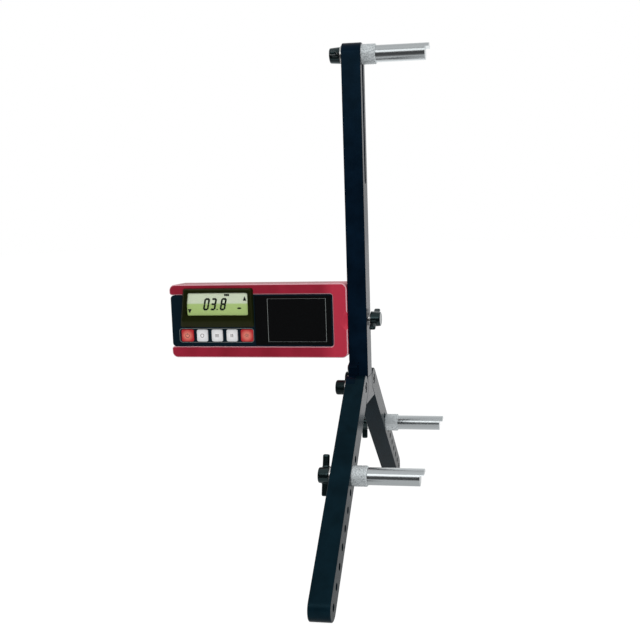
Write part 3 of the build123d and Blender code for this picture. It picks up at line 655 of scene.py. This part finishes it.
def model_wing_knob():
    """T-shaped knob with its base on z = 0 and its wings along X."""
    hub = start_cylinder(72, HUB_RADIUS, HUB_DEPTH, middle=HUB_DEPTH / 2)
    pick(hub, "faces", lambda face: face.normal.z > 0.9)
    bpy.ops.transform.resize(value=(CAP_SHARE, CAP_SHARE, 1), center_override=(0, 0, 0))
    bpy.ops.mesh.inset(thickness=DISH_RIM)
    bpy.ops.transform.translate(value=(0, 0, -DISH_DEPTH))
    pick(hub, "edges", lambda edge: all(v.co.z > HUB_DEPTH - 0.01 * MM for v in edge.verts))
    bpy.ops.mesh.bevel(offset=CAP_ROUND, segments=3)
    done(hub)
    bpy.ops.mesh.primitive_cube_add(size=1)
    wings = start_editing()
    bpy.ops.transform.resize(value=(WING_LENGTH, WING_THICK, WING_DEEP), center_override=(0, 0, 0))
    bpy.ops.transform.translate(value=(0, 0, WING_DEEP / 2))
    for end in (-1, 1):
        tip = (end * WING_LENGTH / 2, 0, WING_DEEP / 2)
        pick(wings, "faces", lambda face: face.normal.x * end > 0.9)
        bpy.ops.transform.resize(value=(1, TIP_THICK_SHARE, TIP_DEEP_SHARE), center_override=tip)
    pick(wings, "edges", lambda edge: True)
    bpy.ops.mesh.bevel(offset=WING_ROUND, segments=4)
    done(wings)
    cut_or_join(hub, wings, "UNION")
    apply_modifier(hub, "REMESH", mode="VOXEL", voxel_size=VOXEL)
    apply_modifier(hub, "SMOOTH", factor=0.5, iterations=SMOOTH_PASSES)
    bore = start_cylinder(48, BORE_RADIUS, 2 * BORE_DEPTH)
    done(bore)
    cut_or_join(hub, bore, "DIFFERENCE")
    return hub


wing_knob_model = model_wing_knob()
print("wing knob faces", len(wing_knob_model.data.polygons))

# %% [markdown]
# ## Four wing knobs in their places
# The four knobs are the same moulding turned by different amounts, since each was tightened until it held.
# So one model is copied four times, along each stud's axis. The glossy black takes sharp highlights, with
# only a trace of waviness from the mould, and mirrors light a little bluer than it is.

# %% Four wing knobs in place
MIRRORED_TINT = (0.6, 0.95, 1.0)
knob_gloss = moulded(
    "knob_gloss", (0.0004, 0.0014, 0.0018), 0.13, 0.02 * MM, grain_per_metre=500, gloss=0.6,
    gloss_tint=MIRRORED_TINT)
WING_TURNS = {"top": 3, "right": 73, "left": 86, "level": 24}


def knob_face(node, out):
    """Centre of a knob node's base, and its outward direction."""
    low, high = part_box(node)
    centre = (low + high) / 2
    return Vector((low.x if out > 0 else high.x, centre.y, centre.z)), (out, 0, 0)


for end, turn in WING_TURNS.items():
    node = f"{end}_wing_knob"
    place, outward = knob_face(node, 1 if end == "level" else -1)
    along = (0, cos(radians(turn)), sin(radians(turn)))
    knob = copy_to(wing_knob_model, f"{end}_knob_moulding", axes_matrix(along, outward, place), knob_gloss,
                   f"{end}_knob")
    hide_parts(node)
    print(knob.name, "at", [round(v / MM, 1) for v in place])
bpy.data.objects.remove(wing_knob_model)

# %% [markdown]
# ## Fluted hub knobs
# The legs' pivots are clamped by two small round knobs behind the hub. Each is a round grip with a rounded
# outer edge, a shallow dish in its cap, and fine flutes around it. The flutes are strips of side faces, two
# out of every four, that are inset and sunk together, which is quicker than cutting each one with a round
# bar.

# %% One fluted knob
FLUTE_COUNT = 18
GRIP_RADIUS = 7.3 * MM
GRIP_DEPTH = 8.8 * MM
GRIP_ROUND = 1.5 * MM
FLUTE_EDGE = 0.14 * MM
FLUTE_DEPTH = 0.28 * MM
CAP_RIM = 1.0 * MM
CAP_DISH = 0.3 * MM
HUB_BORE_RADIUS = 4.45 * MM
HUB_BORE_DEPTH = 7.8 * MM


def in_flute(face):
    """True for the side faces that lie in a flute, two out of every four."""
    centre = face.calc_center_median()
    turn = int(degrees(atan2(centre.y, centre.x)) % 360 / (360 / (4 * FLUTE_COUNT)))
    return abs(face.normal.z) < 0.1 and turn % 4 > 1


def model_fluted_knob():
    """Round grip with its base on z = 0."""
    knob = start_cylinder(4 * FLUTE_COUNT, GRIP_RADIUS, GRIP_DEPTH, middle=GRIP_DEPTH / 2)
    pick(knob, "edges", lambda edge: all(vertex.co.z > 0.99 * GRIP_DEPTH for vertex in edge.verts))
    bpy.ops.mesh.bevel(offset=GRIP_ROUND, segments=4)
    pick(knob, "faces", in_flute)
    bpy.ops.mesh.inset(thickness=FLUTE_EDGE, depth=-FLUTE_DEPTH)
    pick(knob, "faces", lambda face: face.normal.z > 0.99)
    bpy.ops.mesh.inset(thickness=CAP_RIM)
    bpy.ops.transform.translate(value=(0, 0, -CAP_DISH))
    done(knob, smooth_angle=40)
    bore = start_cylinder(48, HUB_BORE_RADIUS, 2 * HUB_BORE_DEPTH)
    done(bore)
    cut_or_join(knob, bore, "DIFFERENCE")
    return knob


grip_plastic = moulded(
    "grip_plastic", (0.0006, 0.0020, 0.0026), 0.3, 0.03 * MM, gloss=0.3, gloss_tint=MIRRORED_TINT)
fluted_knob_model = model_fluted_knob()
for side in ("right", "left"):
    node = f"{side}_hub_knob"
    place, outward = knob_face(node, -1)
    knob = copy_to(fluted_knob_model, f"{side}_hub_knob_moulding", axes_matrix((0, 1, 0), outward, place),
                   grip_plastic, f"{side}_hub_clamp")
    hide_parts(node)
print("fluted knob faces", len(fluted_knob_model.data.polygons))
bpy.data.objects.remove(fluted_knob_model)

# %% [markdown]
# ## Display hood
# The hood is one black moulding with a flat front around the glass. Below, it ends in a rounded ridge that
# catches the light, and then drops steeply to the case. Its free side leans in towards the top. It is drawn
# up in steps: each outline is the last face extruded, then resized to the next rectangle. The lean is one
# corner of the first outline, slid along, and it is slid back where the opening for the glass starts. The
# underside is closed at the end by a bridge from the outer outline to the opening.

# %% Hood with its ridge
BAR_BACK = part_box("upper_bar")[0].x
LEVEL_LOW, LEVEL_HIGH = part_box("level_frame")
LEVEL_FRONT = LEVEL_LOW.y
BOLT_HEIGHT = (LEVEL_LOW.z + LEVEL_HIGH.z) / 2
HOOD_STEPS = (
    (0.0, 96.0, 174.6, -6.2, 33.8),
    (2.9, 96.8, 172.5, -1.8, 33.3),
    (3.5, 97.1, 171.7, -0.7, 33.1),
    (3.9, 97.4, 170.7, 0.6, 32.8),
    (4.8, 97.9, 166.9, 4.6, 32.2),
    (4.95, 98.4, 166.2, 5.6, 31.6),
    (4.96, 100.3, 165.4, 6.1, 29.6),
    (4.7, 100.7, 165.0, 6.5, 29.2),
    (3.6, 100.7, 165.0, 6.5, 29.2),
    (3.6, 99.8, 165.9, 5.6, 30.1),
    (0.0, 99.8, 165.9, 5.6, 30.1))
HOOD_OPENING = HOOD_STEPS[6]
HOOD_CORNER = 2.6 * MM
HOOD_SLANT = 4.0 * MM
NEAR_OUTLINE = 0.004 * MM
CORNER_STEPS = 5
OUTLINE_POINTS = 4 * (CORNER_STEPS + 1)


def rectangle_on_level(depth, near, far, low, high):
    """Centre and size of a rectangle, from millimetres along and above the bolt, depth out from the front."""
    x = BAR_BACK - (near + far) / 2 * MM
    z = BOLT_HEIGHT + (low + high) / 2 * MM
    return Vector((x, LEVEL_FRONT - depth * MM, z)), (far - near) * MM, (high - low) * MM


def start_rectangle(step, corner):
    """A flat rectangle on the level, facing the camera, with rounded corners, in edit mode."""
    centre, width, height = rectangle_on_level(*step)
    bpy.ops.mesh.primitive_plane_add(size=1, rotation=(radians(90), 0, 0))
    piece = start_editing()
    bpy.ops.transform.resize(value=(width, 1, height), center_override=(0, 0, 0))
    bpy.ops.transform.translate(value=centre)
    if corner:
        pick(piece, "verts", lambda vertex: True)
        bpy.ops.mesh.bevel(offset=corner, segments=CORNER_STEPS, affect="VERTICES")
    pick(piece, "faces", lambda face: True)
    return piece


def slide_far_corner(piece, step, amount):
    """Slide the upper far corner of an outline along X, and select the face inside the outline again."""
    centre, width, height = rectangle_on_level(*step)
    pick(piece, "verts", lambda vertex: abs(vertex.co.y - centre.y) < NEAR_OUTLINE
         and vertex.co.x < centre.x - width / 4 and vertex.co.z > centre.z + height / 4)
    bpy.ops.transform.translate(value=(amount, 0, 0))
    pick(piece, "faces", lambda face: is_outline(face, centre.y))


def is_outline(face, y):
    """True for a face that fills a whole outline at that Y."""
    return len(face.verts) == OUTLINE_POINTS and abs(face.calc_center_median().y - y) < NEAR_OUTLINE


hood = start_rectangle(HOOD_STEPS[0], HOOD_CORNER)
slide_far_corner(hood, HOOD_STEPS[0], HOOD_SLANT)
whole_width = rectangle_on_level(*HOOD_STEPS[0])[1]
for last, step in zip(HOOD_STEPS, HOOD_STEPS[1:]):
    old_centre, old_width, old_height = rectangle_on_level(*last)
    centre, width, height = rectangle_on_level(*step)
    bpy.ops.mesh.extrude_region_move(TRANSFORM_OT_translate={"value": centre - old_centre})
    bpy.ops.transform.resize(value=(width / old_width, 1, height / old_height), center_override=centre)
    if step == HOOD_OPENING:
        slide_far_corner(hood, step, -HOOD_SLANT * width / whole_width)
bpy.ops.mesh.delete(type="FACE")
pick(hood, "faces", lambda face: is_outline(face, LEVEL_FRONT))
bpy.ops.mesh.delete(type="FACE")
pick(hood, "edges", lambda edge: edge.is_boundary)
bpy.ops.mesh.bridge_edge_loops()
done(hood, smooth_angle=40)
hood.name = "display_hood"
hood.data.materials.append(hood_plastic)
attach(hood, "level")
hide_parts("lcd_bezel")
print("hood faces", len(hood.data.polygons))

# %% [markdown]
# ## Digits and marks on the display
# The reading is made of seven-segment digits that lean a little. One bar with pointed ends is modelled, a
# hexagon drawn out and given thickness, and every digit is a set of copies of it. The lean is a slant put
# into the finished mesh. Small arrows, a dash and a unit mark stand around the reading. All are thin shapes
# between the panel and the glass, so they stay sharp however near the view is. Their places and sizes are
# written in millimetres.

# %% Digits and marks
INK_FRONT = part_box("lcd_panel")[0].y - 0.05 * MM
INK_THICK = 0.1 * MM
SEGMENT_THICK = 1.95
DIGIT_WIDE = 4.1
DIGIT_TALL = 10.6
SLANT = 0.22
DIGITS = {"0": (-228.3, "abcdef"), "3": (-221.0, "abcdg"), "8": (-210.6, "abcdefg")}
DIGIT_BASE = -246.3
SEGMENTS = {
    "a": (0.5, 1.0, 0), "g": (0.5, 0.5, 0), "d": (0.5, 0.0, 0),
    "f": (0.0, 0.75, 90), "b": (1.0, 0.75, 90), "e": (0.0, 0.25, 90), "c": (1.0, 0.25, 90)}
display_ink = moulded("display_ink", (0.003, 0.006, 0.002), 0.5, 0.01 * MM, gloss=0.1)


def thicken_and_stand(thickness):
    """Give the flat shape being edited a thickness along Z, and turn it up to face -Y."""
    bpy.ops.mesh.select_all(action="SELECT")
    bpy.ops.mesh.extrude_region_move(TRANSFORM_OT_translate={"value": (0, 0, thickness)})
    bpy.ops.mesh.select_all(action="SELECT")
    bpy.ops.transform.rotate(value=radians(-90), orient_axis="X", center_override=(0, 0, 0))


def model_segment(length):
    """Bar with pointed ends along X, in the XZ plane, facing -Y."""
    radius = SEGMENT_THICK / 2 * MM / cos(radians(30))
    piece = start_disc(6, radius)
    bpy.ops.transform.rotate(value=radians(30), orient_axis="Z", center_override=(0, 0, 0))
    reach = (length / 2 - SEGMENT_THICK / 2) * MM
    for end in (-1, 1):
        pick(piece, "verts", lambda vertex: vertex.co.x * end > radius / 4)
        bpy.ops.transform.translate(value=(end * reach, 0, 0))
    thicken_and_stand(INK_THICK)
    return done(piece)


def flat_shape(name, corners, centre, size):
    """Thin plate cut from a round of that many corners, in the display's plane."""
    piece = start_disc(corners, 0.5)
    bpy.ops.transform.resize(value=(size[0] * MM, size[1] * MM, 1), center_override=(0, 0, 0))
    thicken_and_stand(INK_THICK)
    bpy.ops.transform.translate(value=(centre[0] * MM, INK_FRONT, centre[1] * MM))
    done(piece)
    piece.name = name
    return piece


def join(pieces, name):
    """One object out of several."""
    bpy.ops.object.select_all(action="DESELECT")
    for piece in pieces:
        piece.select_set(True)
    bpy.context.view_layer.objects.active = pieces[0]
    bpy.ops.object.join()
    pieces[0].name = name
    return pieces[0]


def finish_piece(piece, material, body):
    """Material, slot and body of a single new piece."""
    piece.data.materials.clear()
    piece.data.materials.append(material)
    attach(piece, body)


across = model_segment(DIGIT_WIDE)
upright = model_segment(DIGIT_TALL / 2)
bars = []
for character, (left, lit) in DIGITS.items():
    for segment in lit:
        right_share, up_share, turn = SEGMENTS[segment]
        model = upright if turn else across
        bar = bpy.data.objects.new(f"segment_{character}_{segment}", model.data.copy())
        bpy.context.scene.collection.objects.link(bar)
        bar.data.transform(Matrix.Rotation(radians(turn), 4, "Y"))
        height = up_share * DIGIT_TALL
        place = (left + right_share * DIGIT_WIDE + SLANT * height, INK_FRONT / MM, DIGIT_BASE + height)
        slant = Matrix(((1, 0, SLANT, 0), (0, 1, 0, 0), (0, 0, 1, 0), (0, 0, 0, 1)))
        bar.data.transform(Matrix.Translation(Vector(place) * MM) @ slant)
        bars.append(bar)
bpy.data.objects.remove(across)
bpy.data.objects.remove(upright)
marks = [
    flat_shape("reading_point", 12, (-214.1, -246.4), (1.5, 1.5)),
    flat_shape("mark_up", 3, (-184.8, -236.1), (4.4, 6.2)),
    flat_shape("mark_dash", 8, (-190.7, -245.2), (4.8, 1.9)),
    flat_shape("mark_down", 3, (-243.3, -247.3), (5.0, -6.0))]
marks += [flat_shape(f"mark_unit_{left}", 6, (left, -231.7), (1.9, 2.9)) for left in (-205.2, -203.4, -201.6)]
reading = join(bars + marks, "display_reading")
finish_piece(reading, display_ink, "level")
print("display marks", len(bars), "segments and", len(marks), "marks")

# %% [markdown]
# ## Thin frames printed on the level
# The black panel has a fine pale border, whose level runs are thinner than its upright ones, and another
# fine line with round corners runs around the buttons. Each is a rectangle, with bevelled corners where
# they are round, inset once by the width of the line. The middle is stretched up and down where the level
# runs are thin, then deleted, and what is left gets the thickness of ink.

# %% Printed frames
LINE_WIDTH = 0.45 * MM
INK_RELIEF = 0.06 * MM
LABEL_BORDER = (21.5, 82.0, -21.3, 22.6)
KEY_ROW_BORDER = (96.9, 176.2, -21.9, -7.3)
KEY_ROW_CORNER = 3.0 * MM
pale_ink = moulded("pale_ink", (0.16, 0.175, 0.17), 0.5, 0.01 * MM)


def printed_frame(name, step, corner, material, level_share=1.0):
    """Raised line around a rectangle on the level, its level runs thinner by a share."""
    frame_line = start_rectangle(step, corner)
    bpy.ops.mesh.inset(thickness=LINE_WIDTH)
    centre, _, height = rectangle_on_level(*step)
    stretch = (height - 2 * level_share * LINE_WIDTH) / (height - 2 * LINE_WIDTH)
    bpy.ops.transform.resize(value=(1, 1, stretch), center_override=centre)
    bpy.ops.mesh.delete(type="FACE")
    bpy.ops.mesh.select_all(action="SELECT")
    bpy.ops.mesh.extrude_region_move(TRANSFORM_OT_translate={"value": (0, -INK_RELIEF, 0)})
    done(frame_line)
    frame_line.name = name
    finish_piece(frame_line, material, "level")
    return frame_line


label_depth = (LEVEL_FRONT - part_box("label_plate")[0].y) / MM
printed_frame("label_border", (label_depth, *LABEL_BORDER), 0.0, pale_ink, level_share=0.4)
printed_frame("button_row_border", (0.0, *KEY_ROW_BORDER), KEY_ROW_CORNER, pale_ink)
print("frames printed, label face", round(label_depth, 2), "mm out")

# %% [markdown]
# ## Marks on the buttons
# The buttons carry plain signs in thin dark ink: a power sign, a nought, three bars, two bars and a small
# sun. Each is built from rings and strokes, lies on the flat of its cap, and moves with it.

# %% Button signs
SIGN_THICK = 0.07 * MM
key_ink = moulded("key_ink", (0.035, 0.03, 0.028), 0.55, 0.01 * MM)


def ring(radius, width, keep=lambda face: True):
    """Flat ring in the XZ plane, of the faces that are kept."""
    piece = start_disc(32, radius)
    bpy.ops.mesh.inset(thickness=width)
    bpy.ops.mesh.delete(type="FACE")
    if pick(piece, "faces", lambda face: not keep(face)):
        bpy.ops.mesh.delete(type="FACE")
    thicken_and_stand(SIGN_THICK)
    return done(piece)


def stroke(centre, length, width, turn):
    """Thin flat bar in the XZ plane, with cut corners."""
    bpy.ops.mesh.primitive_plane_add(size=1)
    piece = start_editing()
    bpy.ops.transform.resize(value=(length, width, 1), center_override=(0, 0, 0))
    bpy.ops.mesh.bevel(offset=width / 4, segments=2, affect="VERTICES")
    bpy.ops.mesh.select_all(action="SELECT")
    bpy.ops.transform.rotate(value=radians(turn), orient_axis="Z", center_override=(0, 0, 0))
    bpy.ops.transform.translate(value=(centre[0], centre[1], 0))
    thicken_and_stand(SIGN_THICK)
    return done(piece)


SIGNS = {
    "power_button": [ring(2.2 * MM, 0.5 * MM, lambda face: face.calc_center_median().y < 1.5 * MM),
                     stroke((0, 1.5 * MM), 2.2 * MM, 0.5 * MM, 90)],
    "zero_button": [ring(2.0 * MM, 0.5 * MM)],
    "mode_button": [stroke((0, row * MM), 4.2 * MM, 0.5 * MM, 0) for row in (-1.2, 0, 1.2)],
    "hold_button": [stroke((column * MM, 0), 3.4 * MM, 0.7 * MM, 90) for column in (-0.9, 0.9)],
    "light_button": [ring(1.2 * MM, 0.45 * MM)] + [
        stroke((2.0 * MM * cos(radians(ray)), 2.0 * MM * sin(radians(ray))), 0.9 * MM, 0.4 * MM, ray)
        for ray in range(0, 360, 45)]}
for node, strokes in SIGNS.items():
    low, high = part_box(node)
    centre = (low + high) / 2
    sign = join(strokes, f"{node}_sign")
    sign.data.transform(Matrix.Translation((centre.x, low.y, centre.z)))
    finish_piece(sign, key_ink, node)
print("signs on", len(SIGNS), "buttons")

# %% [markdown]
# ## Floor
# The gauge stands in a plain white studio. The floor is a large pale sheet. To the camera the sheet shines
# white by itself, while a small share of real light on it keeps the shadow. In reflections it glows too,
# with painted shade: duller under the gauge and brighter behind it. It ends just in front of the gauge, so
# that the faces turned to the camera mirror a darker room there.

# %% Floor
low_corner, high_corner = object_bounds()
FLOOR_GAP = 0.4 * MM
FLOOR_SIZE = 14.0
FLOOR_FRONT = -0.32
FLOOR_GLOW = 1.17
MIRRORED_NEAR, MIRRORED_FAR = 0.55, 1.35
MIRRORED_FROM, MIRRORED_TO = 0.0, 0.65
SHADOW_SHARE = 0.2


def white_surface(name):
    """Pale sheet that shows white to the camera, glows by its distance in reflections with painted shade near
    the gauge, and keeps a shadow.
    """
    material, shader = start_material(name, (0.86, 0.86, 0.86), 0.9)
    shader.inputs["Specular IOR Level"].default_value = 0.0
    rays = add_node(material, "ShaderNodeLightPath")
    glow = add_node(material, "ShaderNodeEmission", Color=(1, 1, 1, 1))
    depth = axis_of(material, object_place(material), "Y")
    # Painted shade in reflections: the floor's glow is dimmer near the gauge.
    mirrored = spread(material, depth, MIRRORED_NEAR, MIRRORED_FAR, start=MIRRORED_FROM, end=MIRRORED_TO)
    strength = choose(material, rays.outputs["Is Glossy Ray"], FLOOR_GLOW, mirrored)
    link(material, strength, glow.inputs["Strength"])
    seen = reckon(material, "MAXIMUM", straight_rays(material, rays), rays.outputs["Is Glossy Ray"])
    mix = add_node(material, "ShaderNodeMixShader")
    link(material, spread(material, seen, 0, 1 - SHADOW_SHARE, start=0, end=1), mix.inputs[0])
    link(material, shader.outputs["BSDF"], mix.inputs[1])
    link(material, glow.outputs["Emission"], mix.inputs[2])
    link(material, mix.outputs["Shader"], material.node_tree.nodes["Material Output"].inputs["Surface"])
    return material


def straight_rays(material, rays):
    """One for the rays of the camera, also for those that went through the glass."""
    return reckon(material, "MAXIMUM", rays.outputs["Is Camera Ray"], rays.outputs["Is Transmission Ray"])


floor_middle = (0, FLOOR_FRONT + FLOOR_SIZE / 2, low_corner.z - FLOOR_GAP)
bpy.ops.mesh.primitive_plane_add(size=FLOOR_SIZE, location=floor_middle)
floor = bpy.context.object
floor.name = "studio_floor"
bpy.ops.object.transform_apply(location=True, rotation=True, scale=True)
floor.data.materials.append(white_surface("studio_white"))
print("floor at z", round(low_corner.z / MM, 1), "mm")

# %% [markdown]
# ## Studio light
# Black things look as bright as what they mirror, so glossy surfaces are shown a darker room than matt ones
# are. The key lamp and the fill are hidden from gloss, because their image would turn the black faces grey.
# Only a weak softbox, high in front, is mirrored: it draws the sharp line of light along each post. The sky
# is white to the camera. Mirrored, it has bands of grey by height, dark in front of the gauge and bright
# behind it, so a black face turned to the camera stays black and one seen edge on turns light.

# %% Studio light
SKY_LIGHT = 0.45
KEY_PLACE, KEY_SIZE, KEY_WATTS = Vector((0.3, -1.35, 0.62)), 0.5, 12.0
SOFTBOX_PLACE, SOFTBOX_SIZE, SOFTBOX_WATTS = Vector((-0.2, -1.4, 0.72)), 0.7, 2.1
FILL_PLACE, FILL_SIZE, FILL_WATTS = Vector((1.3, -0.6, 0.4)), 1.0, 4.0
BEHIND_AT, IN_FRONT_AT = 0.1, -0.3
FRONT_SKY = (
    (0.0, 0.6), (0.08, 0.5), (0.14, 0.14), (0.25, 0.07), (0.70, 0.08), (0.80, 0.5), (0.9, 0.66), (1.0, 0.68))
BACK_SKY = ((0.0, 0.4), (0.42, 0.5), (0.5, 0.95), (0.75, 0.85), (1.0, 0.6))


def area_light(name, place, target, size, watts, mirrored=False):
    """Soft square lamp that points at a target. Gloss doesn't mirror it, unless it is told to."""
    data = bpy.data.lights.new(name, "AREA")
    data.shape = "SQUARE"
    data.size = size
    data.energy = watts
    lamp = bpy.data.objects.new(name, data)
    lamp.visible_glossy = mirrored
    bpy.context.scene.collection.objects.link(lamp)
    direction = Vector(target) - Vector(place)
    lamp.matrix_world = Matrix.Translation(place) @ direction.to_track_quat("-Z", "Y").to_matrix().to_4x4()
    return lamp


def bands(world, height, steps):
    """Grey level by height, from steps of place and level."""
    ramp = add_node(world, "ShaderNodeValToRGB")
    for _ in steps[2:]:
        ramp.color_ramp.elements.new(0.5)
    for element, (place, level) in zip(ramp.color_ramp.elements, steps):
        element.position = place
        element.color = (level, level, level, 1)
    link(world, height, ramp.inputs["Fac"])
    return ramp.outputs["Color"]


def studio_sky():
    """World that is white to the camera, one plain level to matt surfaces, and banded to glossy ones."""
    world = bpy.data.worlds.new("studio_sky")
    bpy.context.scene.world = world
    world.use_nodes = True
    background = world.node_tree.nodes["Background"]
    background.inputs["Color"].default_value = (1, 1, 1, 1)
    direction = add_node(world, "ShaderNodeTexCoord").outputs["Generated"]
    height = spread(world, axis_of(world, direction, "Z"), 0, 1, start=-1, end=1)
    in_front = spread(world, axis_of(world, direction, "Y"), 0, 1, start=BEHIND_AT, end=IN_FRONT_AT)
    mirrored = choose(world, in_front, bands(world, height, BACK_SKY), bands(world, height, FRONT_SKY))
    rays = add_node(world, "ShaderNodeLightPath")
    lit = choose(world, rays.outputs["Is Glossy Ray"], SKY_LIGHT, mirrored)
    strength = choose(world, straight_rays(world, rays), lit, 1.0)
    link(world, strength, background.inputs["Strength"])


middle = (low_corner + high_corner) / 2
area_light("key_light", middle + KEY_PLACE, middle, KEY_SIZE, KEY_WATTS)
area_light("softbox", middle + SOFTBOX_PLACE, middle, SOFTBOX_SIZE, SOFTBOX_WATTS, mirrored=True)
area_light("fill_light", middle + FILL_PLACE, middle, FILL_SIZE, FILL_WATTS)
studio_sky()
print("lamps", KEY_WATTS, SOFTBOX_WATTS, FILL_WATTS, "watts, sky", SKY_LIGHT)
